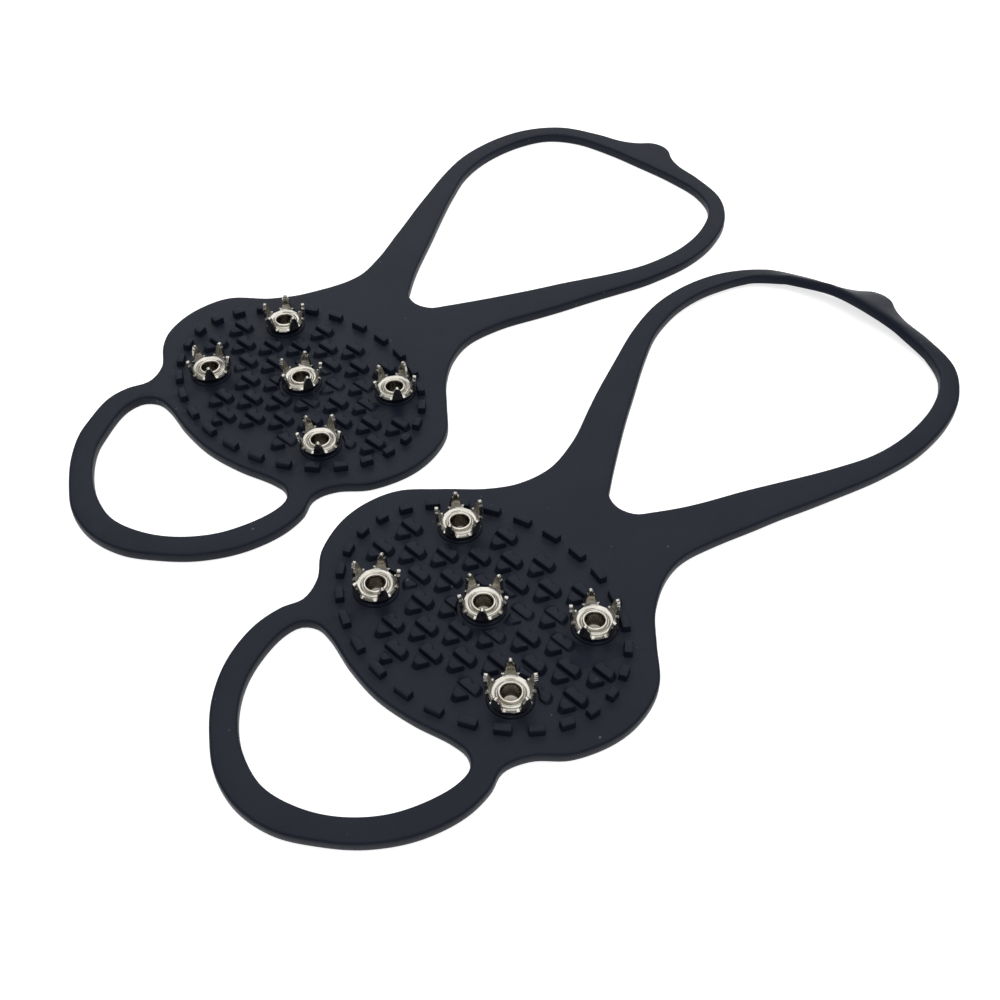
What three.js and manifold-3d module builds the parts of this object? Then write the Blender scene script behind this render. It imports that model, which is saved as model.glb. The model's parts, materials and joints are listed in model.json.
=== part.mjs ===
// A pair of slip-on shoe ice cleats, in millimetres, +Z up.
//
// Each cleat is an elastomer moulding that lies flat with its studs up: an oval
// tread pad, a short D-shaped toe loop and a long V-shaped heel loop with a pull
// tab. Five toothed steel crowns stand on the pad. Each crown is clamped by a
// tubular rivet whose head and backing washer sit in a recess under the pad.
//
// Cleat A points along +Y (heel). Cleat B lies beside it, slightly turned.
// The exported group has its origin at the middle of the bottom of its box.

import * as THREE from 'three';
import { mergeVertices } from 'three/addons/utils/BufferGeometryUtils.js';
import Module from 'manifold-3d';

const wasm = await Module();
wasm.setup();

// ---- Driving dimensions -------------------------------------------------

const SHEET = 2.4; // thickness of the moulding
const MID = SHEET / 2; // height of its middle plane, where it bends
const GAP = 0.2; // clearance between pieces that touch
const FOLD_GAP = 0.3; // clearance between pad and strap at a fold line
const HEEL_FOLD_Y = 1.5; // fold line across the neck
const TOE_FOLD_Y = -60.5; // fold line across the two toe arms

const LUG_HEIGHT = 1.3;
const LUG_COLUMN = 4.89; // spacing of the lug columns
const LUG_ROW = 3.66; // spacing of the lug rows
const FIRST_ROW_Y = -17.2;

const BLOCK_HEIGHT = 1.6;
const BLOCK_COUNT = 28;
const BLOCK_WIDTH = 1.6;
const RING_CENTRE_Y = -32.3;
const RING_HALF_X = 29.5;
const RING_HALF_Y = 22.2;

const STUD_PLACES = [[-17.2, -20.7], [17.2, -20.7], [0, -31.6], [-17.2, -42.3], [17.2, -42.3]];
const BOSS_RADIUS = 4.2;
const BOSS_TOP = 3.0;
const SWEEP_RADIUS = 5.4; // what a turning crown needs clear above the boss
const SHANK_RADIUS = 2.0;
const HEAD_RADIUS = 3.6;
const HEAD_BOTTOM = 0.2;
const HEAD_THICKNESS = 0.5;
const WASHER_RADIUS = 3.9;
const WASHER_THICKNESS = 0.4;
const BORE_RADIUS = 1.55;
const BORE_FLOOR = 0.5; // metal left under the blind bore, above the head
const RING_RADIUS = 2.45; // rolled end of the rivet
const RING_THICKNESS = 0.6;

const CROWN_SHEET = 0.7;
const CROWN_TEETH = 5;
const TOOTH_RADIUS = 4.3; // middle of the upright tooth from the stud axis
const TOOTH_HEIGHT = 4.6; // above the bottom of the crown
const TOOTH_BASE = 3.0; // width where the tooth leaves the plate
const TOOTH_TIP = 1.1; // width near the rounded tip
const NOTCH_RADIUS = 3.3; // from the stud axis to the bottom of a notch

const ROUND_SIDES = 12; // facets of each small round piece

const CLEAT_B_PLACE = [-73.2, 16.5];
const CLEAT_B_TURN = 3.2; // degrees
const CROWN_TURNS_A = [147, 143, 96, 121, 135]; // degrees, as each crown came to rest
const CROWN_TURNS_B = [132, 108, 123, 106, 99];

// ---- Half outlines, [half width, y], from the toe end to the heel end ----

const OUTER_HALF = [
  [0, -88], [7.5, -86.6], [13.7, -83], [19.7, -78], [24.6, -71], [27.1, -63],
  [26.9, -57], [25.6, -52.8], [27.4, -48], [32.1, -43], [35.3, -35], [35.4, -28],
  [33.3, -21.8], [27.6, -15.6], [22.2, -9.8], [18.6, -3.4], [17.3, 3.5], [19.1, 12],
  [23.1, 22], [28.9, 37], [33.4, 49.5], [35.5, 60], [34.8, 72], [31.6, 81],
  [25.4, 87.8], [16, 91.4], [9.3, 92.9], [5.6, 94.8], [2.6, 97.4], [0, 98],
];
const HEEL_HOLE_HALF = [
  [0, 5], [3.4, 6.1], [5.3, 8.6], [10, 16], [18.8, 32], [25.3, 44], [29.2, 53],
  [30.8, 63], [29.6, 74], [26, 81.8], [19.5, 86], [10, 87.6], [0, 87.8],
];
const TOE_HOLE_HALF = [
  [0, -82.5], [7.3, -80.8], [13.2, -77.3], [18.1, -72], [21, -66], [22.3, -60],
  [21.7, -56.6], [19.3, -54.9], [15.6, -55], [8, -56.9], [0, -57.8],
];

// ---- Materials ----------------------------------------------------------

const RUBBER = { color: 0x2a2c32, roughness: 0.55, metalness: 0 };
const STEEL = { color: 0xcfc9bc, roughness: 0.22, metalness: 1 };

// ---- Solids -------------------------------------------------------------

function solidOf(geometry) {
  geometry.deleteAttribute('normal');
  geometry.deleteAttribute('uv');
  const merged = mergeVertices(geometry, 1e-4);
  const vertProperties = new Float32Array(merged.attributes.position.array);
  const triVerts = new Uint32Array(merged.index.array);
  return new wasm.Manifold(new wasm.Mesh({ numProp: 3, vertProperties, triVerts }));
}

function geometryOf(solid) {
  const mesh = solid.getMesh();
  const geometry = new THREE.BufferGeometry();
  geometry.setAttribute('position', new THREE.BufferAttribute(mesh.vertProperties, 3));
  geometry.setIndex(new THREE.BufferAttribute(mesh.triVerts, 1));
  const flat = geometry.toNonIndexed();
  flat.computeVertexNormals();
  return flat;
}

function addAll(base, others) {
  return others.reduce((sum, other) => sum.add(other), base);
}

function prism(shape, bottom, top) {
  const geometry = new THREE.ExtrudeGeometry(shape, { depth: top - bottom, bevelEnabled: false });
  geometry.translate(0, 0, bottom);
  return geometry;
}

function polygon(points) {
  return new THREE.Shape(points.map(([x, y]) => new THREE.Vector2(x, y)));
}

// A block that fills everything past a fold line, rounded about that line.
function pastFold(foldY, direction) {
  const reach = 200;
  const box = new THREE.BoxGeometry(reach, reach, 3 * SHEET);
  box.translate(0, foldY + (direction * reach) / 2, MID);
  const knuckle = new THREE.CylinderGeometry(MID, MID, reach, 16);
  knuckle.rotateZ(Math.PI / 2);
  knuckle.translate(0, foldY, MID);
  return solidOf(box).add(solidOf(knuckle));
}

function disc(x, y, radius, bottom, top, sides = ROUND_SIDES) {
  const geometry = new THREE.CylinderGeometry(radius, radius, top - bottom, sides);
  geometry.rotateX(Math.PI / 2);
  geometry.translate(x, y, (bottom + top) / 2);
  return solidOf(geometry);
}

// ---- Moulding -----------------------------------------------------------

// A smooth closed outline through a half outline and its mirror image.
function smoothShape(half, stepsPerPoint) {
  const right = half.map(([x, y]) => new THREE.Vector3(x, y, 0));
  const left = half.slice(1, -1).reverse().map(([x, y]) => new THREE.Vector3(-x, y, 0));
  const curve = new THREE.CatmullRomCurve3([...right, ...left], true, 'centripetal');
  const points = curve.getPoints((right.length + left.length) * stepsPerPoint);
  points.pop();
  return new THREE.Shape(points.map((point) => new THREE.Vector2(point.x, point.y)));
}

function mouldingSheet() {
  const outer = solidOf(prism(smoothShape(OUTER_HALF, 2), 0, SHEET));
  const heelHole = solidOf(prism(smoothShape(HEEL_HOLE_HALF, 2), -1, SHEET + 1));
  const toeHole = solidOf(prism(smoothShape(TOE_HOLE_HALF, 2), -1, SHEET + 1));
  return outer.subtract(heelHole).subtract(toeHole);
}

// A lug is a shield cut by a cross groove: a notched bar towards the heel and a
// blunt wedge towards the toe.
function lugLobes(x, y) {
  const bar = [
    [-1.5, 0.1], [2.85, 0.1], [2.9, 1.2], [2.45, 2.15], [1.5, 2.3],
    [0.65, 1.6], [-0.15, 2.3], [-1.15, 2.15], [-1.55, 1.2],
  ];
  const wedge = [[-1.0, -0.75], [0.15, -3.0], [1.25, -3.0], [2.4, -0.75]];
  return [bar, wedge].map((lobe) => {
    const shape = polygon(lobe.map(([dx, dy]) => [x + dx, y + dy]));
    return solidOf(prism(shape, MID, SHEET + LUG_HEIGHT));
  });
}

// Lug columns run from -5 to 5; odd columns fill even rows and the reverse.
function lugPlaces() {
  const columnsOfRow = [
    [-2, 0, 2], [-1, 1], [-2, 0, 2], [-5, -3, -1, 1, 3, 5], [-4, -2, 2, 4],
    [-5, -3, -1, 1, 3, 5], [-4, -2, 0, 2, 4], [-1, 1], [-2, 0, 2], [-1],
  ];
  return columnsOfRow.flatMap((columns, row) => {
    return columns.map((column) => [column * LUG_COLUMN, FIRST_ROW_Y - row * LUG_ROW]);
  });
}

function ringBlocks() {
  const blocks = [];
  for (let index = 0; index < BLOCK_COUNT; index += 1) {
    const angle = ((index + 0.5) * 2 * Math.PI) / BLOCK_COUNT;
    const x = RING_HALF_X * Math.sin(angle);
    const y = RING_CENTRE_Y + RING_HALF_Y * Math.cos(angle);
    const slope = Math.atan2(-RING_HALF_Y * Math.sin(angle), RING_HALF_X * Math.cos(angle));
    const length = 2.1 + 1.4 * Math.abs(Math.cos(angle));
    const geometry = new THREE.BoxGeometry(length, BLOCK_WIDTH, SHEET + BLOCK_HEIGHT - MID);
    geometry.rotateZ(slope);
    geometry.translate(x, y, (SHEET + BLOCK_HEIGHT + MID) / 2);
    blocks.push(solidOf(geometry));
  }
  return blocks;
}

function treadPad(sheet) {
  const reach = 200;
  const between = new THREE.BoxGeometry(
    reach,
    HEEL_FOLD_Y - TOE_FOLD_Y - 2 * (MID + FOLD_GAP),
    3 * SHEET,
  );
  between.translate(0, (HEEL_FOLD_Y + TOE_FOLD_Y) / 2, MID);
  const flat = sheet.intersect(solidOf(between));
  const lugs = lugPlaces().flatMap(([x, y]) => lugLobes(x, y));
  const bosses = STUD_PLACES.map(([x, y]) => disc(x, y, BOSS_RADIUS, MID, BOSS_TOP + 1));
  let pad = addAll(flat, [...lugs, ...ringBlocks(), ...bosses]);
  const recessTop = HEAD_BOTTOM + HEAD_THICKNESS + WASHER_THICKNESS + 2 * GAP;
  for (const [x, y] of STUD_PLACES) {
    pad = pad.subtract(disc(x, y, SWEEP_RADIUS, BOSS_TOP, BOSS_TOP + 5));
    pad = pad.subtract(disc(x, y, WASHER_RADIUS + GAP, -1, recessTop));
    pad = pad.subtract(disc(x, y, SHANK_RADIUS + GAP, -1, BOSS_TOP + 2));
  }
  return pad;
}

// ---- Stud ---------------------------------------------------------------

const CROWN_BOTTOM = BOSS_TOP + GAP;
const CROWN_TOP = CROWN_BOTTOM + CROWN_SHEET;

function rivetGeometry() {
  const headTop = HEAD_BOTTOM + HEAD_THICKNESS;
  const ringBottom = CROWN_TOP + GAP;
  const ringTop = ringBottom + RING_THICKNESS;
  const profile = [
    [0, HEAD_BOTTOM], [HEAD_RADIUS, HEAD_BOTTOM], [HEAD_RADIUS, headTop],
    [SHANK_RADIUS, headTop], [SHANK_RADIUS, ringBottom], [RING_RADIUS, ringBottom],
    [RING_RADIUS, ringTop - 0.25], [RING_RADIUS - 0.4, ringTop], [BORE_RADIUS, ringTop - 0.2],
    [BORE_RADIUS, headTop + BORE_FLOOR], [0, headTop + BORE_FLOOR],
  ];
  const points = profile.map(([radius, z]) => new THREE.Vector2(radius, z));
  const geometry = new THREE.LatheGeometry(points, ROUND_SIDES);
  geometry.rotateX(Math.PI / 2);
  return geometryOf(solidOf(geometry));
}

function washerGeometry() {
  const bottom = HEAD_BOTTOM + HEAD_THICKNESS + GAP;
  const top = bottom + WASHER_THICKNESS;
  const inner = SHANK_RADIUS + GAP;
  const profile = [
    [inner, bottom], [WASHER_RADIUS, bottom], [WASHER_RADIUS, top], [inner, top], [inner, bottom],
  ];
  const points = profile.map(([radius, z]) => new THREE.Vector2(radius, z));
  const geometry = new THREE.LatheGeometry(points, ROUND_SIDES);
  geometry.rotateX(Math.PI / 2);
  return geometryOf(solidOf(geometry));
}

// One tooth: a strip that leaves the plate, bends up and tapers to its tip.
function crownTooth() {
  const inner = TOOTH_RADIUS - CROWN_SHEET / 2;
  const outer = TOOTH_RADIUS + CROWN_SHEET / 2;
  const bend = 0.9;
  const top = TOOTH_HEIGHT;
  const side = new THREE.Shape();
  side.moveTo(NOTCH_RADIUS - 0.6, 0);
  side.lineTo(outer - bend - CROWN_SHEET, 0);
  side.quadraticCurveTo(outer, 0, outer, bend + CROWN_SHEET);
  side.lineTo(outer - 0.1, top);
  side.lineTo(inner + 0.1, top);
  side.lineTo(inner, bend + CROWN_SHEET);
  side.quadraticCurveTo(inner, CROWN_SHEET, inner - bend, CROWN_SHEET);
  side.lineTo(NOTCH_RADIUS - 0.6, CROWN_SHEET);
  const strip = new THREE.ExtrudeGeometry(side, {
    depth: TOOTH_BASE,
    bevelEnabled: false,
    curveSegments: 2,
  });
  strip.translate(0, 0, -TOOTH_BASE / 2);
  strip.rotateX(Math.PI / 2);
  const half = TOOTH_BASE / 2;
  const tip = TOOTH_TIP / 2;
  const front = polygon([
    [-half, -1], [half, -1], [half, 0.9], [tip, top - 0.5], [tip * 0.5, top],
    [-tip * 0.5, top], [-tip, top - 0.5], [-half, 0.9],
  ]);
  const taper = new THREE.ExtrudeGeometry(front, { depth: 10, bevelEnabled: false });
  taper.rotateX(Math.PI / 2);
  taper.rotateZ(Math.PI / 2);
  return solidOf(strip).intersect(solidOf(taper));
}

// The plate: a corner at each side of each tooth and a hollow notch between.
function crownPlate() {
  const points = [];
  const step = (2 * Math.PI) / CROWN_TEETH;
  const rim = TOOTH_RADIUS - 0.9;
  const spread = Math.atan2(TOOTH_BASE / 2, rim);
  const corner = Math.hypot(TOOTH_BASE / 2, rim);
  for (let tooth = 0; tooth < CROWN_TEETH; tooth += 1) {
    const middle = tooth * step;
    points.push([corner * Math.cos(middle - spread), corner * Math.sin(middle - spread)]);
    points.push([corner * Math.cos(middle + spread), corner * Math.sin(middle + spread)]);
    for (const share of [0.3, 0.7]) {
      const angle = middle + spread + share * (step - 2 * spread);
      points.push([NOTCH_RADIUS * Math.cos(angle), NOTCH_RADIUS * Math.sin(angle)]);
    }
  }
  return solidOf(prism(polygon(points), 0, CROWN_SHEET));
}

function crownGeometry() {
  const teeth = [];
  for (let tooth = 0; tooth < CROWN_TEETH; tooth += 1) {
    teeth.push(crownTooth().rotate([0, 0, (tooth * 360) / CROWN_TEETH]));
  }
  const hole = disc(0, 0, SHANK_RADIUS + GAP, -1, CROWN_SHEET + 1);
  const crown = addAll(crownPlate(), teeth).subtract(hole);
  const geometry = geometryOf(crown);
  geometry.translate(0, 0, CROWN_BOTTOM);
  return geometry;
}

// ---- Assembly -----------------------------------------------------------

function namedMesh(name, geometry, look) {
  const mesh = new THREE.Mesh(geometry, new THREE.MeshStandardMaterial(look));
  mesh.name = name;
  return mesh;
}

function cleat(prefix, crownTurns) {
  const group = new THREE.Group();
  const sheet = mouldingSheet();
  const heelStrap = sheet.intersect(pastFold(HEEL_FOLD_Y, 1));
  const toeStrap = sheet.intersect(pastFold(TOE_FOLD_Y, -1));
  group.add(namedMesh(`${prefix}_tread_pad`, geometryOf(treadPad(sheet)), RUBBER));
  group.add(namedMesh(`${prefix}_heel_strap`, geometryOf(heelStrap), RUBBER));
  group.add(namedMesh(`${prefix}_toe_strap`, geometryOf(toeStrap), RUBBER));
  STUD_PLACES.forEach(([x, y], index) => {
    const number = index + 1;
    const crown = namedMesh(`${prefix}_crown_${number}`, crownGeometry(), STEEL);
    crown.position.set(x, y, 0);
    crown.rotation.z = THREE.MathUtils.degToRad(crownTurns[index]);
    const rivet = namedMesh(`${prefix}_rivet_${number}`, rivetGeometry(), STEEL);
    rivet.position.set(x, y, 0);
    const washer = namedMesh(`${prefix}_washer_${number}`, washerGeometry(), STEEL);
    washer.position.set(x, y, 0);
    group.add(crown, rivet, washer);
  });
  return group;
}

const pair = new THREE.Group();
const cleatA = cleat('cleat_a', CROWN_TURNS_A);
const cleatB = cleat('cleat_b', CROWN_TURNS_B);
cleatB.position.set(CLEAT_B_PLACE[0], CLEAT_B_PLACE[1], 0);
cleatB.rotation.z = THREE.MathUtils.degToRad(CLEAT_B_TURN);
pair.add(cleatA, cleatB);

const box = new THREE.Box3().setFromObject(pair, true);
const middle = box.getCenter(new THREE.Vector3());
pair.position.set(-middle.x, -middle.y, -box.min.z);

export default pair;
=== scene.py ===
"""The looks of a pair of slip-on shoe ice cleats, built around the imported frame.

Lengths are in millimetres while a piece is being shaped, in its cleat's own frame:
X across, Y from the toe loop to the heel tab, Z up out of the tread. Each piece is
put in place in metres at the end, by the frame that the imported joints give.
"""

import json
import math

import bmesh
import bpy
import numpy as np
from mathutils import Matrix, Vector
from mathutils.geometry import delaunay_2d_cdt


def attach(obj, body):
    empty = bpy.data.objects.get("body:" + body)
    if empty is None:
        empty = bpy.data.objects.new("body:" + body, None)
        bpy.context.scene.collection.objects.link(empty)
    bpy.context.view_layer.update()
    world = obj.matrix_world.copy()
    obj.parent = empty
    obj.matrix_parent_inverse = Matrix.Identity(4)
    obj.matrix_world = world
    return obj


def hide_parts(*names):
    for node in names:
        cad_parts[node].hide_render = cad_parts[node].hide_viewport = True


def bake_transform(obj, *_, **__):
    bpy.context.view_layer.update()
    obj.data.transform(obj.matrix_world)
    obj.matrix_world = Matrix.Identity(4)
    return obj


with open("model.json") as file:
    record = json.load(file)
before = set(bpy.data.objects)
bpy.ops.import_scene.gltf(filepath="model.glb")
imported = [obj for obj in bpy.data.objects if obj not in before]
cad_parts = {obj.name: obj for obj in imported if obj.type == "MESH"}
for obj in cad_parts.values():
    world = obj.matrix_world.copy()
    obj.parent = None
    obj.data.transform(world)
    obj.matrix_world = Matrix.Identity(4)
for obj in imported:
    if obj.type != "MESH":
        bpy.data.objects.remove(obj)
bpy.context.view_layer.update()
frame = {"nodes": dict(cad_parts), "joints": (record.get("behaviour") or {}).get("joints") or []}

MM = 0.001
SHARP_ANGLE = math.radians(38)  # an edge that turns more is shaded as a sharp one
JOINTS = {joint["name"]: joint for joint in frame["joints"]}

# ---- Moulding ----

SHEET = 2.4  # thickness
MID = SHEET / 2
HEEL_FOLD_Y = 1.5  # of the heel fold's axis
HEEL_CUT_Y = -4.5  # where the heel loop's piece starts, and its bend
HEEL_BEND_END_Y = 8.0
TOE_CUT_Y = -58.2  # where the toe loop's piece starts, and its bend
TOE_BEND_END_Y = -64.5
OUTLINE_STEP = 1.0
CURVE_STEPS = 24  # between two points of an outline, before it is evened out
GRID_STEP = 1.9

# Half outlines, as (half width, y), from the toe end to the heel end.
OUTER_HALF = [
    (0, -88), (7.5, -86.6), (13.7, -83), (19.7, -78), (24.6, -71), (27.1, -63),
    (26.9, -57), (25.6, -52.8), (27.4, -48), (32.1, -43), (35.3, -35), (35.4, -28),
    (33.3, -21.8), (27.6, -15.6), (22.2, -9.8), (18.6, -3.4), (17.3, 3.5), (19.1, 12),
    (23.1, 22), (28.9, 37), (33.4, 49.5), (35.5, 60), (34.8, 72), (31.6, 81),
    (25.4, 87.8), (16, 91.4), (9.3, 92.9), (5.6, 94.8), (2.6, 97.4), (0, 98),
]
HEEL_HOLE_HALF = [
    (0, 5), (3.4, 6.1), (5.3, 8.6), (10, 16), (18.8, 32), (25.3, 44), (29.2, 53),
    (30.8, 63), (29.6, 74), (26, 81.8), (19.5, 86), (10, 87.6), (0, 87.8),
]
TOE_HOLE_HALF = [
    (0, -82.5), (7.3, -80.8), (13.2, -77.3), (18.1, -72), (21, -66), (22.3, -60),
    (21.7, -56.6), (19.3, -54.9), (15.6, -55), (8, -56.9), (0, -57.8),
]

# The front cleat's heel strap stands on its outer edge near the pull tab.
STRAP_LIFT = 3.5  # of its inner edge, where it is highest
STRAP_LIFT_X = -3.0  # where that is
STRAP_LIFT_REACH = 20.0  # how far across the lift fades
STRAP_LIFT_FROM_Y = 55.0
STRAP_LIFT_FULL_Y = 77.0
STRAP_END_Y = 75.0  # the outer edge beyond it is the loop's end
HOLE_END_Y = 63.0  # and so is the hole's edge beyond it
LEAST_STRAP = 3.8
MOST_TILT = 0.64  # sine of the strap's steepest tilt

# How far sideways each half of a cleat lies from where it was moulded, as (y, distance).
DRIFT = {
    "cleat_a": {
        "left": [(-16, 0), (-4, 1.0), (14, 1.1), (30, 0.6), (60, 0.5), (80, 1.2)],
        "right": [(-16, 0), (-4, 0.6), (12, 1.0), (28, 0.1), (60, -0.8), (80, -0.6), (92, 0.3)],
    },
    "cleat_b": {
        "left": [
            (-82, 1.2), (-70, 0.2), (-60, -0.8), (-48, 0), (-18, 0), (-5, -1.9),
            (8, -1.3), (30, -0.6), (50, 0), (84, 0.7),
        ],
        "right": [
            (-84, 1.0), (-58, 0.8), (-49, 0), (-16, 0), (12, -0.9), (30, -0.2),
            (50, 0.7), (70, 1.3), (86, 1.4),
        ],
    },
}
DRIFT_BLEND = 18.0  # half width over which one half's drift turns into the other's
HEEL_REACH = {"cleat_a": 0.7, "cleat_b": -0.6}  # how much further out the heel end lies
HEEL_REACH_SPAN = (60, 86)
RIM_SPREAD = {"cleat_a": 0.0, "cleat_b": 1.8}  # how much wider the pad's left rim is
RIM_SPAN = (27, 34)  # distances from the middle between which it widens
RIM_ALONG = [(-50, 0), (-38, 1), (-18, 1), (-6, 0)]  # share of that along Y

# The rounded edge of the sheet, as (inset into the material, height).
EDGE = [
    (0.5, 0), (0.15, 0.1), (0, 0.42), (0, 1.2),
    (0, 1.8), (0.08, 2.1), (0.28, 2.32), (0.62, SHEET),
]

# ---- Tread ----

LUG_HEIGHT = 1.3
LUG_COLUMN = 4.89  # spacing across
LUG_ROW = 3.66  # spacing along
FIRST_ROW_Y = -17.2
# The columns that hold a lug, row by row from the heel side; none where a stud stands.
LUG_COLUMNS_OF_ROW = [
    [-2, 0, 2], [-1, 1], [-2, 0, 2], [-5, -3, -1, 1, 3, 5], [-4, -2, 2, 4],
    [-5, -3, -1, 1, 3, 5], [-4, -2, 0, 2, 4], [-1, 1], [-2, 0, 2], [-1],
]
# A lug is a notched bar and a blunt wedge: foot outline, the point it narrows
# towards, and how much of its size in X and Y the top keeps.
LOBES = [
    (
        [
            (-1.7, 0.1), (3.15, 0.1), (3.2, 1.2), (2.65, 2.25), (1.55, 2.4),
            (0.7, 1.65), (-0.15, 2.4), (-1.25, 2.25), (-1.75, 1.2),
        ],
        (0.7, 0.1),
        (0.84, 0.95),
    ),
    (
        [(-1.05, -0.75), (0.1, -3.15), (1.25, -3.15), (2.45, -0.75)],
        (0.7, -0.75),
        (0.97, 0.8),
    ),
]

LOBE_CORNER = 0.4  # corner radius
FOOT_GAP = 0.42  # the least room between two features
SHRINK = 0.92  # of a feature without that room, until it has it
MOST_SHRINKS = 10
BOSS_CLEARANCE = 0.75  # between a boss and the foot of a lobe
LEAST_LOBE = 2.0  # area under which a lobe cut off by a boss is left out
BLOCK_HEIGHT = 1.6
BLOCK_COUNT = 28
BLOCK_WIDTH = 1.6
BLOCK_LENGTH = 2.1  # at the pad's sides
BLOCK_EXTRA_LENGTH = 1.4  # added towards the pad's front and back
BLOCK_CORNER = 0.3  # corner radius
RING_CENTRE_Y = -32.3
RING_HALF_X = 29.5
RING_HALF_Y = 22.2

# ---- Studs ----

STUD_COUNT = 5
ROUND_SIDES = 48
BOSS_RADIUS = 4.2
BOSS_TOP = 3.0
CROWN_REACH = 5.2  # what a turning crown sweeps
RECESS_RADIUS = 4.1
RECESS_TOP = 1.5
SHANK_RADIUS = 2.0
GAP = 0.2
HEAD_BOTTOM = 0.2
HEAD_TOP = 0.7
HEAD_RADIUS = 3.6
WASHER_RADIUS = 3.9
WASHER_TOP = 1.3
CROWN_BOTTOM = BOSS_TOP + GAP
CROWN_SHEET = 0.7
TEETH = 5
TOOTH_RADIUS = 4.45
TOOTH_HEIGHT = 4.6
TOOTH_HALF_TIP = 0.45
TIP_DEPTH = 0.1  # how far below its height a tooth still counts as its tip
ROOT_HALF = 1.5  # half width of a tooth where it leaves the plate
SHOULDER = 1.66  # half width over its spiked shoulders
SHOULDER_HEIGHT = 0.85  # of the spikes, above the middle of the plate
NOTCH_RADIUS = 3.85  # of the plate's short edges between the teeth
NOTCH_HALF_ANGLE = 0.15  # of such an edge, in radians
BEND_RADIUS = 1.25
CROWN_RISE = 0.3  # of the drawn plate over the flat one
TOOTH_LEAN = math.radians(84)
CROWN_STEP = 0.2  # of its outline
CROWN_GRID_STEP = 0.3
COLLAR_SIDES = 40
BORE_RADIUS = 1.75
BORE_FLOOR = 1.15
RING_RADIUS = 2.38
RING_HEIGHT = 0.6


# ---------------------------------------------------------------------------
# Plane curves
# ---------------------------------------------------------------------------


def resample(points, step):
    """The closed line through points, with points of equal spacing near step."""
    closed = np.vstack([points, points[:1]])
    along = np.concatenate([[0], np.cumsum(np.linalg.norm(np.diff(closed, axis=0), axis=1))])
    count = max(8, round(along[-1] / step))
    at = np.linspace(0, along[-1], count, endpoint=False)
    return np.stack([np.interp(at, along, closed[:, k]) for k in range(2)], axis=1)


def smooth_outline(half, step):
    """A centripetal Catmull-Rom curve through a half outline and its mirror image."""
    right = [np.array(p, float) for p in half]
    left = [p * (-1, 1) for p in right[-2:0:-1]]
    points = right + left
    count = len(points)
    dense = []
    for i in range(count):
        p0, p1, p2, p3 = (points[(i + k - 1) % count] for k in range(4))
        t1 = np.linalg.norm(p1 - p0) ** 0.5
        t2 = t1 + np.linalg.norm(p2 - p1) ** 0.5
        t3 = t2 + np.linalg.norm(p3 - p2) ** 0.5
        for t in np.linspace(t1, t2, CURVE_STEPS, endpoint=False):
            a1 = p0 + (p1 - p0) * (t / t1)
            a2 = p1 + (p2 - p1) * ((t - t1) / (t2 - t1))
            a3 = p2 + (p3 - p2) * ((t - t2) / (t3 - t2))
            b1 = a1 + (a2 - a1) * (t / t2)
            b2 = a2 + (a3 - a2) * ((t - t1) / (t3 - t1))
            dense.append(b1 + (b2 - b1) * ((t - t1) / (t2 - t1)))
    return resample(np.array(dense), step)


def signed_area(loop):
    """The loop's area, positive where it runs counter-clockwise."""
    x, y = loop[:, 0], loop[:, 1]
    return 0.5 * float(np.sum(x * np.roll(y, -1) - np.roll(x, -1) * y))


def offset(loop, distance):
    """The loop moved outwards by distance, or inwards where it is negative."""
    before = loop - np.roll(loop, 1, axis=0)
    after = np.roll(loop, -1, axis=0) - loop
    before /= np.linalg.norm(before, axis=1)[:, None]
    after /= np.linalg.norm(after, axis=1)[:, None]
    turn = 1 if signed_area(loop) > 0 else -1
    normal = np.stack([before[:, 1] + after[:, 1], -before[:, 0] - after[:, 0]], axis=1) * turn
    length = np.linalg.norm(normal, axis=1)
    normal /= length[:, None]
    stretch = 2 / np.maximum(length, 1.2)
    return loop + normal * (distance * stretch)[:, None]


def rounded_corners(corners, radius, steps=3):
    """A polygon whose corners are cut by quadratic arcs, counter-clockwise."""
    corners = np.array(corners, float)
    if signed_area(corners) < 0:
        corners = corners[::-1]
    points = []
    for i, corner in enumerate(corners):
        to_last = corners[i - 1] - corner
        to_next = corners[(i + 1) % len(corners)] - corner
        start = corner + to_last * min(0.45, radius / np.linalg.norm(to_last))
        end = corner + to_next * min(0.45, radius / np.linalg.norm(to_next))
        for t in np.linspace(0, 1, steps + 1):
            points.append((1 - t) ** 2 * start + 2 * t * (1 - t) * corner + t * t * end)
    return np.array(points)


def circle(centre, radius, sides):
    angles = np.linspace(0, 2 * math.pi, sides, endpoint=False)
    x = centre[0] + radius * np.cos(angles)
    y = centre[1] + radius * np.sin(angles)
    return np.stack([x, y], axis=1)


def inside(points, loops):
    """Which points lie inside an odd number of the loops."""
    never_zero = 1e-30
    odd = np.zeros(len(points), bool)
    x, y = points[:, 0], points[:, 1]
    for loop in loops:
        for (x0, y0), (x1, y1) in zip(loop, np.roll(loop, -1, axis=0)):
            crosses = (y0 > y) != (y1 > y)
            if crosses.any():
                odd ^= crosses & (x < x0 + (y - y0) * (x1 - x0) / (y1 - y0 + never_zero))
    return odd


# ---------------------------------------------------------------------------
# Closed surfaces
# ---------------------------------------------------------------------------


def grid_between(loops, step):
    """Staggered points over the area between the loops, kept off their edges."""
    edges = np.vstack(loops)
    low, high = edges.min(0), edges.max(0)
    row_step = step * 0.87
    grid = []
    for row, y in enumerate(np.arange(low[1] + step / 2, high[1], row_step)):
        xs = np.arange(low[0] + (row % 2) * step / 2, high[0], step)
        grid.append(np.stack([xs, np.full(len(xs), y)], axis=1))
    grid = np.vstack(grid)
    grid = grid[inside(grid, loops)]
    distance = np.full(len(grid), np.inf)
    for chunk in np.array_split(edges, max(1, len(edges) // 200)):
        gap = np.linalg.norm(grid[:, None] - chunk[None], axis=2).min(1)
        distance = np.minimum(distance, gap)
    return grid[distance > step * 0.45]


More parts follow.
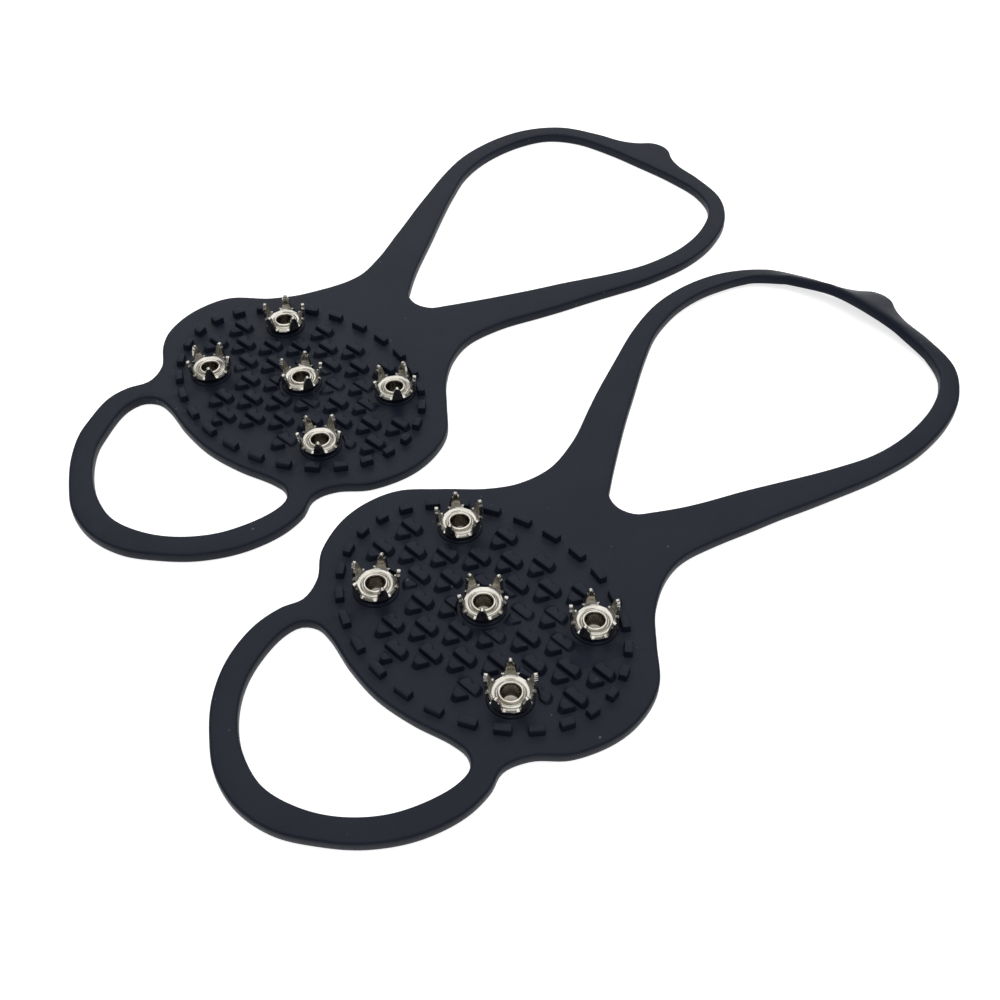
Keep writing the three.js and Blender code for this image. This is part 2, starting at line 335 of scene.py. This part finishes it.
class Shell:
    """The vertices and faces of one closed surface."""

    def __init__(self):
        self.verts = []
        self.faces = []

    def ring(self, loop, z):
        """Adds the loop's points at that height, and gives their indices."""
        first = len(self.verts)
        heights = np.broadcast_to(z, len(loop))
        self.verts += [(x, y, h) for (x, y), h in zip(loop, heights)]
        return list(range(first, first + len(loop)))

    def join(self, rings):
        """Walls from each ring to the next."""
        for low, high in zip(rings, rings[1:]):
            for i in range(len(low)):
                j = (i + 1) % len(low)
                self.faces.append((low[i], low[j], high[j], high[i]))

    def fill(self, rings, z, step):
        """A flat face between rings, with inner points so that it can bend."""
        loops = [np.array([self.verts[i][:2] for i in ring]) for ring in rings]
        grid = grid_between(loops, step)
        known = [i for ring in rings for i in ring]
        edges, first = [], 0
        for ring in rings:
            edges += [(first + i, first + (i + 1) % len(ring)) for i in range(len(ring))]
            first += len(ring)
        flat = [Vector(self.verts[i][:2]) for i in known] + [Vector(p) for p in grid]
        same_point = 1e-7
        triangulated = delaunay_2d_cdt(flat, edges, [], 0, same_point)
        out_verts, out_faces, origins = triangulated[0], triangulated[2], triangulated[3]
        indices = []
        for vert, origin in zip(out_verts, origins):
            if origin and origin[0] < len(known):
                indices.append(known[origin[0]])
            else:
                indices.append(len(self.verts))
                self.verts.append((vert[0], vert[1], z))
        middles = [np.mean([out_verts[i] for i in face], axis=0) for face in out_faces]
        for face, kept in zip(out_faces, inside(np.array(middles), loops)):
            if kept:
                self.faces.append(tuple(indices[i] for i in face))

    def mesh(self, name, place=None):
        """The surface as a Blender mesh in metres, each vertex sent through place."""
        verts = np.array(self.verts, float)
        if place is not None:
            verts = place(verts)
        data = bpy.data.meshes.new(name)
        data.from_pydata((verts * MM).tolist(), [], self.faces)
        bm = bmesh.new()
        bm.from_mesh(data)
        loose = [v for v in bm.verts if not v.link_faces]
        bmesh.ops.delete(bm, geom=loose, context="VERTS")
        bmesh.ops.recalc_face_normals(bm, faces=bm.faces)
        bm.to_mesh(data)
        bm.free()
        return data


def lathe(profile, closes=False):
    """A surface of revolution about Z. Its profile starts and ends on the axis, or closes."""
    shell = Shell()
    rings = []
    for radius, z in profile:
        if radius > 0:
            rings.append(shell.ring(circle((0, 0), radius, ROUND_SIDES), z))
        else:
            shell.verts.append((0, 0, z))
            rings.append([len(shell.verts) - 1])
    for low, high in zip(rings, rings[1:]):
        if len(low) > 1 and len(high) > 1:
            shell.join([low, high])
        else:
            tip, ring = (low[0], high) if len(low) == 1 else (high[0], low)
            for i in range(ROUND_SIDES):
                shell.faces.append((tip, ring[i], ring[(i + 1) % ROUND_SIDES]))
    if closes:
        shell.join([rings[-1], rings[0]])
    return shell


def add_object(name, data, material):
    """A new object with that mesh, shaded smooth but for its sharper edges."""
    obj = bpy.data.objects.new(name, data)
    bpy.context.scene.collection.objects.link(obj)
    data.materials.append(material)
    data.shade_smooth()
    data.set_sharp_from_angle(angle=SHARP_ANGLE)
    return obj


# ---------------------------------------------------------------------------
# Where each cleat lies
# ---------------------------------------------------------------------------


class Cleat:
    """One cleat's own frame, from its packed fold joints."""

    def __init__(self, prefix):
        self.prefix = prefix
        heel = np.array(JOINTS[f"{prefix}_heel_fold"]["pos_m"]) / MM
        toe = np.array(JOINTS[f"{prefix}_toe_fold"]["pos_m"]) / MM
        self.y = (heel - toe) / np.linalg.norm(heel - toe)
        self.x = np.array([self.y[1], -self.y[0], 0])
        self.z = np.array([0, 0, 1.0])
        self.origin = heel - self.y * HEEL_FOLD_Y - self.z * MID

    def place(self, verts):
        """Points of the cleat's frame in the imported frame, both in millimetres."""
        return self.origin + verts @ np.stack([self.x, self.y, self.z])

    def middle(self, y):
        """The point of the moulding's middle line at that y, in metres."""
        return tuple(self.place(np.array([[0, y, MID]]))[0] * MM)

    def local(self, point_m):
        """A point in metres in the cleat's own frame, in millimetres."""
        away = np.array(point_m) / MM - self.origin
        return np.array([away @ self.x, away @ self.y, away @ self.z])

    def studs(self):
        """Where the axes of the studs stand."""
        joints = [JOINTS[f"{self.prefix}_stud_{k + 1}_spin"] for k in range(STUD_COUNT)]
        return [self.local(joint["pos_m"])[:2] for joint in joints]


# ---------------------------------------------------------------------------
# Rubber moulding
# ---------------------------------------------------------------------------


def raised_feature(shell, loop, top, anchor=(0, 0), keep=(1, 1)):
    """A lug or block on the sheet, with a fillet at its foot and a rounded top.

    On the way up its outline shrinks towards the point anchor, to the shares keep of
    its size in X and Y. The profile gives, at each height, how far the outline stands
    out and how much of the shrinking is done."""
    rise = top - SHEET
    profile = [
        (0, 0.14, 0), (0.06 / rise, 0.04, 0), (0.18 / rise, 0, 0.08),
        (1 - 0.2 / rise, -0.03, 0.9), (1 - 0.07 / rise, -0.08, 0.97), (1, -0.2, 1),
    ]
    rings = []
    for share, out, narrowing in profile:
        shrunk = anchor + (loop - anchor) * (1 - narrowing * (1 - np.array(keep)))
        rings.append(shell.ring(offset(shrunk, out), SHEET + rise * share))
    shell.join(rings)
    shell.faces.append(tuple(rings[-1]))
    return rings[0]


def lobe_clear_of_bosses(corners, studs):
    """A lobe's outline pushed off the bosses, and whether a crown turns above it."""
    loop = rounded_corners(corners, LOBE_CORNER)
    reach = min(np.linalg.norm(loop - stud, axis=1).min() for stud in studs)
    clear = BOSS_RADIUS + BOSS_CLEARANCE
    if reach > clear:
        return loop, reach < CROWN_REACH
    loop = resample(loop, 0.45)
    for stud in studs:
        away = loop - stud
        distance = np.linalg.norm(away, axis=1)[:, None]
        loop = np.where(distance < clear, stud + away * clear / distance, loop)
    return resample(loop, 0.4), True


def clear_of_others(loop, others):
    """The outline made smaller where it would run into one already placed."""
    centre = loop.mean(axis=0)
    for _ in range(MOST_SHRINKS):
        edge = resample(loop, 0.3)
        gaps = (np.linalg.norm(edge[:, None] - other, axis=2).min() for other in others)
        if all(gap > FOOT_GAP for gap in gaps):
            break
        loop = centre + (loop - centre) * SHRINK
    others.append(edge)
    return loop


def block_outline(index):
    """One block of the oval ring, its length along the ring."""
    angle = (index + 0.5) * 2 * math.pi / BLOCK_COUNT
    x = RING_HALF_X * math.sin(angle)
    y = RING_CENTRE_Y + RING_HALF_Y * math.cos(angle)
    slope = math.atan2(-RING_HALF_Y * math.sin(angle), RING_HALF_X * math.cos(angle))
    length = BLOCK_LENGTH + BLOCK_EXTRA_LENGTH * abs(math.cos(angle))
    corners = np.array([[-1, -1], [1, -1], [1, 1], [-1, 1]]) * (length / 2, BLOCK_WIDTH / 2)
    turn = [[math.cos(slope), math.sin(slope)], [-math.sin(slope), math.cos(slope)]]
    return rounded_corners(corners @ np.array(turn) + (x, y), BLOCK_CORNER)


def tread_features(shell, studs):
    """The ring of blocks and the lugs; gives the loops where they meet the sheet."""
    bases, placed = [], []
    for index in range(BLOCK_COUNT):
        loop = clear_of_others(block_outline(index), placed)
        bases.append(raised_feature(shell, loop, SHEET + BLOCK_HEIGHT))
    for row, columns in enumerate(LUG_COLUMNS_OF_ROW):
        for column in columns:
            centre = np.array([column * LUG_COLUMN, FIRST_ROW_Y - row * LUG_ROW])
            for corners, anchor, keep in LOBES:
                loop, low = lobe_clear_of_bosses(np.array(corners) + centre, studs)
                if abs(signed_area(loop)) < LEAST_LOBE:
                    continue
                top = BOSS_TOP if low else SHEET + LUG_HEIGHT
                loop = clear_of_others(loop, placed)
                bases.append(raised_feature(shell, loop, top, centre + anchor, keep))
    return bases


def stud_site(shell, centre):
    """Recess, bore and boss of one stud, from the underside to the tread face."""
    profile = [
        (RECESS_RADIUS + 0.2, 0), (RECESS_RADIUS, 0.2), (RECESS_RADIUS, RECESS_TOP),
        (SHANK_RADIUS + GAP, RECESS_TOP), (SHANK_RADIUS + GAP, BOSS_TOP - 0.15),
        (SHANK_RADIUS + GAP + 0.15, BOSS_TOP), (BOSS_RADIUS - 0.3, BOSS_TOP),
        (BOSS_RADIUS - 0.06, BOSS_TOP - 0.12), (BOSS_RADIUS, BOSS_TOP - 0.3),
        (BOSS_RADIUS + 0.08, SHEET + 0.08), (BOSS_RADIUS + 0.28, SHEET),
    ]
    rings = [shell.ring(circle(centre, radius, ROUND_SIDES), z) for radius, z in profile]
    shell.join(rings)
    return rings[0], rings[-1]


def moulding(studs):
    """One cleat's whole rubber, flat and symmetric, in its own frame."""
    shell = Shell()
    bottoms, tops = [], []
    outlines = [(OUTER_HALF, -1), (HEEL_HOLE_HALF, 1), (TOE_HOLE_HALF, 1)]
    for half, into_material in outlines:
        loop = smooth_outline(half, OUTLINE_STEP)
        rings = [shell.ring(offset(loop, into_material * inset), z) for inset, z in EDGE]
        shell.join(rings)
        bottoms.append(rings[0])
        tops.append(rings[-1])
    for stud in studs:
        bottom, top = stud_site(shell, stud)
        bottoms.append(bottom)
        tops.append(top)
    tops += tread_features(shell, studs)
    shell.fill(tops, SHEET, GRID_STEP)
    shell.fill(bottoms, 0.0, GRID_STEP)
    return shell


def eased(at, points):
    """The value at each place, from points joined by curves that start and end level."""
    places, values = (np.array(k, float) for k in zip(*points))
    i = np.clip(np.searchsorted(places, at) - 1, 0, len(places) - 2)
    t = np.clip((at - places[i]) / (places[i + 1] - places[i]), 0, 1)
    return values[i] + (values[i + 1] - values[i]) * t * t * (3 - 2 * t)


def end_edge(half, from_y, x):
    """The y of a half outline's end beyond from_y, at each distance across."""
    return np.interp(np.abs(x), *zip(*sorted(p for p in half if p[1] > from_y)))


def lift_strap(verts):
    """The front cleat's heel strap, twisted about its outer edge, its inner edge raised."""
    x, y, z = verts.T
    outer = end_edge(OUTER_HALF, STRAP_END_Y, x)
    inner = np.minimum(end_edge(HEEL_HOLE_HALF, HOLE_END_Y, x), outer - LEAST_STRAP)
    rise = STRAP_LIFT * np.exp(-(((x - STRAP_LIFT_X) / STRAP_LIFT_REACH) ** 2))
    rise = rise * eased(y, [(STRAP_LIFT_FROM_Y, 0), (STRAP_LIFT_FULL_Y, 1)])
    tilt = np.arcsin(np.minimum(rise / (outer - inner), MOST_TILT))
    inward = outer - y
    lifted = verts.copy()
    lifted[:, 1] = outer - inward * np.cos(tilt) + z * np.sin(tilt)
    lifted[:, 2] = np.maximum(inward, 0) * np.sin(tilt) + z * np.cos(tilt)
    return lifted


def settle(prefix, verts):
    """The moulding as it came to rest, its soft loops a little to one side."""
    x, y = verts[:, 0], verts[:, 1]
    rightness = np.clip(0.5 + x / (2 * DRIFT_BLEND), 0, 1)
    left = eased(y, DRIFT[prefix]["left"])
    right = eased(y, DRIFT[prefix]["right"])
    rim = eased(-x, list(zip(RIM_SPAN, (0, RIM_SPREAD[prefix])))) * eased(y, RIM_ALONG)
    settled = verts.copy()
    settled[:, 0] += left + (right - left) * rightness - rim
    settled[:, 1] += eased(y, list(zip(HEEL_REACH_SPAN, (0, HEEL_REACH[prefix]))))
    return settled


def keep_between(data, low_y, high_y):
    """Cuts a moulding's mesh, still in its cleat's own frame, to a stretch of its length."""
    bm = bmesh.new()
    bm.from_mesh(data)
    for y, side in ((low_y, 1), (high_y, -1)):
        if y is None:
            continue
        cut = bmesh.ops.bisect_plane(
            bm,
            geom=bm.verts[:] + bm.edges[:] + bm.faces[:],
            dist=1e-7,
            plane_co=(0, y * MM, 0),
            plane_no=(0, -side, 0),
            clear_outer=True,
        )
        edges = [e for e in cut["geom_cut"] if isinstance(e, bmesh.types.BMEdge)]
        bmesh.ops.holes_fill(bm, edges=edges, sides=0)
    bmesh.ops.recalc_face_normals(bm, faces=bm.faces[:])
    bm.to_mesh(data)
    bm.free()
    return data


def rubber_pieces(cleat, material):
    """The moulding in three pieces: the tread, and the two loops cut off where they leave it."""
    prefix = cleat.prefix

    def lay(verts):
        lifted = lift_strap(verts) if prefix == "cleat_a" else verts
        return settle(prefix, lifted)

    whole = moulding(cleat.studs()).mesh(f"{prefix}_whole", lay)
    spans = {
        "tread": (TOE_CUT_Y, HEEL_CUT_Y),
        "heel_loop": (HEEL_CUT_Y, None),
        "toe_loop": (None, TOE_CUT_Y),
    }
    made = {}
    for part, (low, high) in spans.items():
        data = keep_between(whole.copy(), low, high)
        verts = np.array([v.co for v in data.vertices]) / MM
        data.vertices.foreach_set("co", (cleat.place(verts) * MM).ravel())
        data.name = f"{prefix}_{part}"
        made[part] = add_object(f"{prefix}_{part}", data, material)
    bpy.data.meshes.remove(whole)
    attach(made["tread"], f"{prefix}_pad")
    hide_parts(f"{prefix}_tread_pad")
    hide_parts(f"{prefix}_heel_strap")
    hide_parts(f"{prefix}_toe_strap")
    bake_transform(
        made["heel_loop"],
        f"{prefix}_pad",
        f"{prefix}_heel",
        start=cleat.middle(HEEL_CUT_Y),
        end=cleat.middle(HEEL_BEND_END_Y),
    )
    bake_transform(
        made["toe_loop"],
        f"{prefix}_pad",
        f"{prefix}_toe",
        start=cleat.middle(TOE_CUT_Y),
        end=cleat.middle(TOE_BEND_END_Y),
    )


# ---------------------------------------------------------------------------
# Studs
# ---------------------------------------------------------------------------

# The crown is cut flat and then drawn: flat out to PLATE_RADIUS, bent up to BEND_END,
# and straight from there to the tips, over the length UPRIGHT.
BEND_HEIGHT = BEND_RADIUS * (1 - math.cos(TOOTH_LEAN))
UPRIGHT = (TOOTH_HEIGHT - CROWN_RISE - CROWN_SHEET / 2 - BEND_HEIGHT) / math.sin(TOOTH_LEAN)
BEND_WIDTH = BEND_RADIUS * math.sin(TOOTH_LEAN)
PLATE_RADIUS = TOOTH_RADIUS - BEND_WIDTH - UPRIGHT * math.cos(TOOTH_LEAN)
BEND_END = PLATE_RADIUS + BEND_RADIUS * TOOTH_LEAN


def cup(along, lift):
    """Radius and height in the drawn crown, from those in the flat one."""
    bent = np.clip((along - PLATE_RADIUS) / BEND_RADIUS, 0, TOOTH_LEAN)
    straight = np.maximum(along - BEND_END, 0)
    radius = np.minimum(along, PLATE_RADIUS) + BEND_RADIUS * np.sin(bent)
    radius = radius + straight * math.cos(TOOTH_LEAN) - lift * np.sin(bent)
    height = BEND_RADIUS * (1 - np.cos(bent)) + straight * math.sin(TOOTH_LEAN)
    return radius, height + lift * np.cos(bent)


def crown_pattern():
    """The flat crown's outline: teeth with spiked shoulders, and short edges between them."""
    tip = BEND_END + UPRIGHT
    shoulder = BEND_END + SHOULDER_HEIGHT - BEND_HEIGHT
    cap = tip - TOOTH_HALF_TIP
    # One side of a tooth up to its round tip, as (distance from the axis, half width).
    side = [
        (NOTCH_RADIUS, ROOT_HALF), (shoulder - 0.4, ROOT_HALF + 0.05),
        (shoulder, SHOULDER), (shoulder - 0.08, 1.15), (shoulder + 1.1, 0.95),
        (shoulder + 2.2, 0.7), (tip - 0.75, TOOTH_HALF_TIP + 0.06),
    ]
    side += [
        (cap + TOOTH_HALF_TIP * math.cos(a), TOOTH_HALF_TIP * math.sin(a))
        for a in np.radians([66, 44, 22, 0])
    ]
    both_sides = [(u, -v) for u, v in side[:-1]] + side[::-1]
    points = []
    for tooth in range(TEETH):
        turn = 2 * math.pi * tooth / TEETH
        for along, half_width in both_sides:
            angle = turn + half_width / cup(along, 0)[0]
            points.append((along * math.cos(angle), along * math.sin(angle)))
        for aside in (-NOTCH_HALF_ANGLE, NOTCH_HALF_ANGLE):
            angle = turn + math.pi / TEETH + aside
            points.append((NOTCH_RADIUS * math.cos(angle), NOTCH_RADIUS * math.sin(angle)))
    return resample(np.array(points), CROWN_STEP)


def draw_cup(verts):
    """Presses the flat crown into a cup: its rim and teeth turn up about a short radius."""
    along = np.hypot(verts[:, 0], verts[:, 1])
    radius, height = cup(along, verts[:, 2])
    scale = (radius / along)[:, None]
    return np.column_stack([verts[:, :2] * scale, height])


def crown_shell():
    """The flat crown, with rounded edges and a pressed ring around its hole."""
    shell = Shell()
    half = CROWN_SHEET / 2
    # As (inset from the outline, height).
    rim_edge = [
        (0.11, -half), (0.03, -half + 0.03), (0, -half + 0.11), (0, half - 0.11),
        (0.03, half - 0.03), (0.11, half),
    ]
    hole = SHANK_RADIUS + GAP
    # As (radius, height).
    collar = [
        (hole + 0.1, -half), (hole, -half + 0.1), (hole, half - 0.1), (hole + 0.1, half),
        (2.5, half), (2.56, half + 0.08), (2.66, half + 0.12), (2.76, half + 0.08), (2.82, half),
    ]
    outer = [shell.ring(offset(crown_pattern(), -inset), z) for inset, z in rim_edge]
    inner = [shell.ring(circle((0, 0), radius, COLLAR_SIDES), z) for radius, z in collar]
    shell.join(outer)
    shell.join(inner)
    shell.fill([outer[-1], inner[-1]], half, CROWN_GRID_STEP)
    shell.fill([outer[0], inner[0]], -half, CROWN_GRID_STEP)
    return shell


def rivet_shell():
    """A flat head, a shank, an end rolled out over the crown, and a blind bore."""
    ring_bottom = CROWN_BOTTOM + CROWN_SHEET + 0.06
    ring_top = CROWN_BOTTOM + CROWN_SHEET + GAP + RING_HEIGHT
    middle_r = (RING_RADIUS + BORE_RADIUS) / 2
    middle_z = (ring_bottom + ring_top) / 2
    half_r = (RING_RADIUS - BORE_RADIUS) / 2
    half_z = (ring_top - ring_bottom) / 2
    head = [
        (0, HEAD_BOTTOM), (HEAD_RADIUS - 0.5, HEAD_BOTTOM),
        (HEAD_RADIUS - 0.12, HEAD_BOTTOM + 0.07), (HEAD_RADIUS, HEAD_BOTTOM + 0.25),
        (HEAD_RADIUS - 0.05, HEAD_TOP - 0.08), (HEAD_RADIUS - 0.2, HEAD_TOP),
    ]
    shank = [
        (SHANK_RADIUS + 0.1, HEAD_TOP), (SHANK_RADIUS, HEAD_TOP + 0.1),
        (SHANK_RADIUS, ring_bottom),
    ]
    roll = [
        (middle_r + half_r * math.cos(a), middle_z + half_z * math.sin(a))
        for a in np.radians(range(-70, 181, 25))
    ]
    bore = [
        (BORE_RADIUS - 0.06, middle_z - 0.4), (BORE_RADIUS - 0.1, BORE_FLOOR + 0.55),
        (BORE_RADIUS - 0.3, BORE_FLOOR + 0.2), (BORE_RADIUS - 0.8, BORE_FLOOR + 0.05),
        (0, BORE_FLOOR),
    ]
    return lathe(head + shank + roll + bore)


def washer_shell():
    """A flat ring with its edges broken."""
    bottom = HEAD_TOP + GAP
    inner = SHANK_RADIUS + GAP
    bevel = 0.08
    profile = [
        (inner + bevel, bottom), (WASHER_RADIUS - bevel, bottom),
        (WASHER_RADIUS, bottom + bevel), (WASHER_RADIUS, WASHER_TOP - bevel),
        (WASHER_RADIUS - bevel, WASHER_TOP), (inner + bevel, WASHER_TOP),
        (inner, WASHER_TOP - bevel), (inner, bottom + bevel),
    ]
    return lathe(profile, closes=True)


def tooth_angle(cleat, number, centre):
    """The direction of one tooth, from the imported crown: where its high points lie."""
    node = frame["nodes"][f"{cleat.prefix}_crown_{number}"]
    away = np.array([cleat.local(v.co) for v in node.data.vertices])
    away[:, :2] -= centre
    high = away[away[:, 2] > CROWN_BOTTOM + TOOTH_HEIGHT - TIP_DEPTH]
    phases = np.arctan2(high[:, 1], high[:, 0]) * TEETH
    return math.atan2(np.sin(phases).mean(), np.cos(phases).mean()) / TEETH


def studs(cleat, materials):
    """Crown, rivet and washer of each stud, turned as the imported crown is."""
    crown, rivet, washer = crown_shell(), rivet_shell(), washer_shell()
    drawn = draw_cup(np.array(crown.verts))
    drawn[:, 2] += CROWN_BOTTOM + CROWN_RISE + CROWN_SHEET / 2
    crown.verts = [tuple(v) for v in drawn]
    for number, centre in enumerate(cleat.studs(), start=1):
        body = f"{cleat.prefix}_stud_{number}"
        turn = tooth_angle(cleat, number, centre)

        def place(verts, centre=centre, turn=turn):
            x = verts[:, 0] * math.cos(turn) - verts[:, 1] * math.sin(turn)
            y = verts[:, 0] * math.sin(turn) + verts[:, 1] * math.cos(turn)
            return cleat.place(np.stack([x + centre[0], y + centre[1], verts[:, 2]], axis=1))

        for part, shell in (("crown", crown), ("rivet", rivet), ("washer", washer)):
            name = f"{body}_{part}"
            piece = add_object(name, shell.mesh(name, place), materials[part])
            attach(piece, body)
            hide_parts(f"{cleat.prefix}_{part}_{number}")


# ---------------------------------------------------------------------------
# Materials
# ---------------------------------------------------------------------------


class Nodes:
    """A material's node tree, with short calls to add and link nodes."""

    def __init__(self, name):
        self.material = bpy.data.materials.new(name)
        self.material.use_nodes = True
        self.tree = self.material.node_tree
        self.shader = self.tree.nodes["Principled BSDF"]
        self.place = self.add("ShaderNodeTexCoord").outputs["Object"]

    def add(self, kind, **values):
        node = self.tree.nodes.new(kind)
        for key, value in values.items():
            setattr(node, key, value)
        return node

    def link(self, out, socket):
        self.tree.links.new(out, socket)

    def noise(self, scale, detail, roughness=0.55, stretch=None):
        """Noise of that scale per metre, drawn out where stretch is given."""
        node = self.add("ShaderNodeTexNoise")
        node.inputs["Scale"].default_value = scale
        node.inputs["Detail"].default_value = detail
        node.inputs["Roughness"].default_value = roughness
        if stretch is None:
            self.link(self.place, node.inputs["Vector"])
        else:
            mapping = self.add("ShaderNodeMapping")
            mapping.inputs["Scale"].default_value = stretch
            self.link(self.place, mapping.inputs["Vector"])
            self.link(mapping.outputs["Vector"], node.inputs["Vector"])
        return node.outputs["Fac"]

    def ramp(self, value, stops):
        """A colour for each value, between the stops' positions."""
        node = self.add("ShaderNodeValToRGB")
        elements = node.color_ramp.elements
        while len(elements) < len(stops):
            elements.new(0.5)
        for element, (position, colour) in zip(elements, stops):
            element.position = position
            element.color = (*colour, 1)
        self.link(value, node.inputs["Fac"])
        return node.outputs["Color"]

    def span(self, value, low, high, from_low=0.0, from_high=1.0):
        """The value's range from_low to from_high moved to low to high."""
        node = self.add("ShaderNodeMapRange")
        node.inputs["From Min"].default_value = from_low
        node.inputs["From Max"].default_value = from_high
        node.inputs["To Min"].default_value = low
        node.inputs["To Max"].default_value = high
        self.link(value, node.inputs["Value"])
        return node.outputs["Result"]

    def bump(self, value, depth, strength, before=None):
        """A bump of that depth in metres, on top of an earlier one."""
        node = self.add("ShaderNodeBump")
        node.inputs["Distance"].default_value = depth
        node.inputs["Strength"].default_value = strength
        self.link(value, node.inputs["Height"])
        if before is not None:
            self.link(before, node.inputs["Normal"])
        return node.outputs["Normal"]


def rubber_material():
    """Blue-black elastomer: fine moulded grain, cloudy handling marks and a little lint."""
    n = Nodes("rubber")
    cloud = n.noise(55, detail=5)
    grain = n.noise(5200, detail=3)
    fine = n.noise(1500, detail=4)
    lint = n.noise(900, detail=1, roughness=0.3)
    colour = n.ramp(cloud, [(0.3, (0.0062, 0.0084, 0.0155)), (0.7, (0.0088, 0.0112, 0.0190))])
    specks = n.ramp(lint, [(0.79, (0, 0, 0)), (0.83, (1, 1, 1))])
    mix = n.add("ShaderNodeMix", data_type="RGBA")
    n.link(specks, mix.inputs["Factor"])
    n.link(colour, mix.inputs["A"])
    mix.inputs["B"].default_value = (0.06, 0.065, 0.075, 1)
    n.link(mix.outputs["Result"], n.shader.inputs["Base Color"])
    n.link(n.span(fine, 0.36, 0.54), n.shader.inputs["Roughness"])
    n.shader.inputs["Specular IOR Level"].default_value = 0.11
    coarse = n.bump(fine, 0.00004, 0.5)
    n.link(n.bump(grain, 0.000015, 0.6, coarse), n.shader.inputs["Normal"])
    return n.material


PAINTED_SHADE_SHARE = 0.55  # share of the colour kept at the bottom of the bore, where painted shade darkens it


def steel_material(name, light, dark, roughness, painted_shade=None):
    """Plated steel with fine scratches, pits and slight tarnish.

    Where the bore's two heights in metres are given, the colour is darkened from the upper one
    down to the lower: painted shade inside the bore."""
    n = Nodes(name)
    tarnish = n.noise(420, detail=5)
    scratch = n.noise(1600, detail=2, stretch=(1, 5, 2))
    pits = n.noise(3000, detail=2)
    colour = n.ramp(tarnish, [(0.35, dark), (0.62, light)])
    # Painted shade: the colour darkens towards the bottom of the bore.
    if painted_shade is not None:
        low, high = painted_shade
        parts = n.add("ShaderNodeSeparateXYZ")
        n.link(n.place, parts.inputs["Vector"])
        scaled = n.add("ShaderNodeVectorMath", operation="SCALE")
        n.link(colour, scaled.inputs[0])
        n.link(n.span(parts.outputs["Z"], PAINTED_SHADE_SHARE, 1, low, high), scaled.inputs["Scale"])
        colour = scaled.outputs["Vector"]
    n.link(colour, n.shader.inputs["Base Color"])
    n.shader.inputs["Metallic"].default_value = 1
    gloss = n.span(scratch, roughness - 0.05, roughness + 0.1, 0.3, 0.7)
    n.link(gloss, n.shader.inputs["Roughness"])
    worn = n.bump(pits, 0.00003, 0.25)
    n.link(n.bump(scratch, 0.00001, 0.25, worn), n.shader.inputs["Normal"])
    return n.material


def floor_material():
    """Matt white paper that glows a little, so that it shows as plain white."""
    n = Nodes("floor_white")
    shade = n.noise(6, detail=2)
    colour = n.ramp(shade, [(0, (0.6, 0.6, 0.6)), (1, (0.606, 0.606, 0.606))])
    n.link(colour, n.shader.inputs["Base Color"])
    n.shader.inputs["Roughness"].default_value = 0.9
    n.shader.inputs["Specular IOR Level"].default_value = 0.1
    n.shader.inputs["Emission Color"].default_value = (1, 1, 1, 1)
    n.shader.inputs["Emission Strength"].default_value = 0.72
    return n.material


# ---------------------------------------------------------------------------
# Stage, light and camera
# ---------------------------------------------------------------------------

VIEW_AZIMUTH = math.radians(44.33)
VIEW_ELEVATION = math.radians(46.4)
VIEW_DISTANCE = 0.2547
VIEW_TARGET = Vector((0.0198, -0.0215, 0))
LENS = 46.08
SENSOR = 36
FLOOR_Z = -0.0001  # just under the pair
FLOOR_SIZE = 6

# Soft lights around the pair: azimuth and elevation in degrees, distance and size in
# metres, power in watts.
SOFTBOXES = {
    "overhead": (215, 80, 1.0, (1.7, 1.7), 15.5),
    "camera_side": (44, 42, 1.0, (0.7, 0.45), 1.1),
    "behind": (225, 28, 1.3, (1.6, 0.6), 3.2),
}


def look_from(azimuth, elevation):
    """The direction from the target to an eye at that azimuth and elevation."""
    level = math.cos(elevation)
    return Vector((math.sin(azimuth) * level, -math.cos(azimuth) * level, math.sin(elevation)))


def aim(obj, position, target):
    obj.location = position
    obj.rotation_euler = (target - position).to_track_quat("-Z", "Y").to_euler()


def camera():
    data = bpy.data.cameras.new("camera")
    data.lens = LENS
    data.sensor_width = SENSOR
    data.clip_start = 0.005
    obj = bpy.data.objects.new("camera", data)
    bpy.context.scene.collection.objects.link(obj)
    eye = VIEW_TARGET + look_from(VIEW_AZIMUTH, VIEW_ELEVATION) * VIEW_DISTANCE
    aim(obj, eye, VIEW_TARGET)
    bpy.context.scene.camera = obj


def softbox(name, azimuth, elevation, distance, size, power):
    data = bpy.data.lights.new(name, "AREA")
    data.shape = "RECTANGLE"
    data.size, data.size_y = size
    data.energy = power
    obj = bpy.data.objects.new(name, data)
    bpy.context.scene.collection.objects.link(obj)
    centre = Vector((0, 0, 0))
    aim(obj, centre + look_from(math.radians(azimuth), math.radians(elevation)) * distance, centre)


def stage():
    bpy.ops.mesh.primitive_plane_add(size=FLOOR_SIZE, location=(0, 0, FLOOR_Z))
    floor = bpy.context.object
    floor.name = "floor"
    floor.data.materials.append(floor_material())
    world = bpy.data.worlds.new("studio")
    world.use_nodes = True
    background = world.node_tree.nodes["Background"]
    background.inputs["Color"].default_value = (0.95, 0.97, 1, 1)
    background.inputs["Strength"].default_value = 0.3
    bpy.context.scene.world = world
    for name, settings in SOFTBOXES.items():
        softbox(name, *settings)
    bpy.context.scene.view_settings.view_transform = "Standard"
    bpy.context.scene.view_settings.look = "None"


# ---------------------------------------------------------------------------
# Scene
# ---------------------------------------------------------------------------

camera()
stage()
rubber = rubber_material()
# Heights between which the rivet's bore gets painted shade, darker towards its floor.
bore_heights = (0.0022, 0.0041)
metals = {
    "crown": steel_material("crown_steel", (0.45, 0.435, 0.395), (0.36, 0.34, 0.30), 0.17),
    "rivet": steel_material(
        "rivet_steel", (0.50, 0.48, 0.43), (0.36, 0.33, 0.28), 0.17, painted_shade=bore_heights
    ),
    "washer": steel_material("washer_steel", (0.62, 0.61, 0.58), (0.5, 0.49, 0.46), 0.35),
}
for cleat_name in ("cleat_a", "cleat_b"):
    lying = Cleat(cleat_name)
    rubber_pieces(lying, rubber)
    studs(lying, metals)
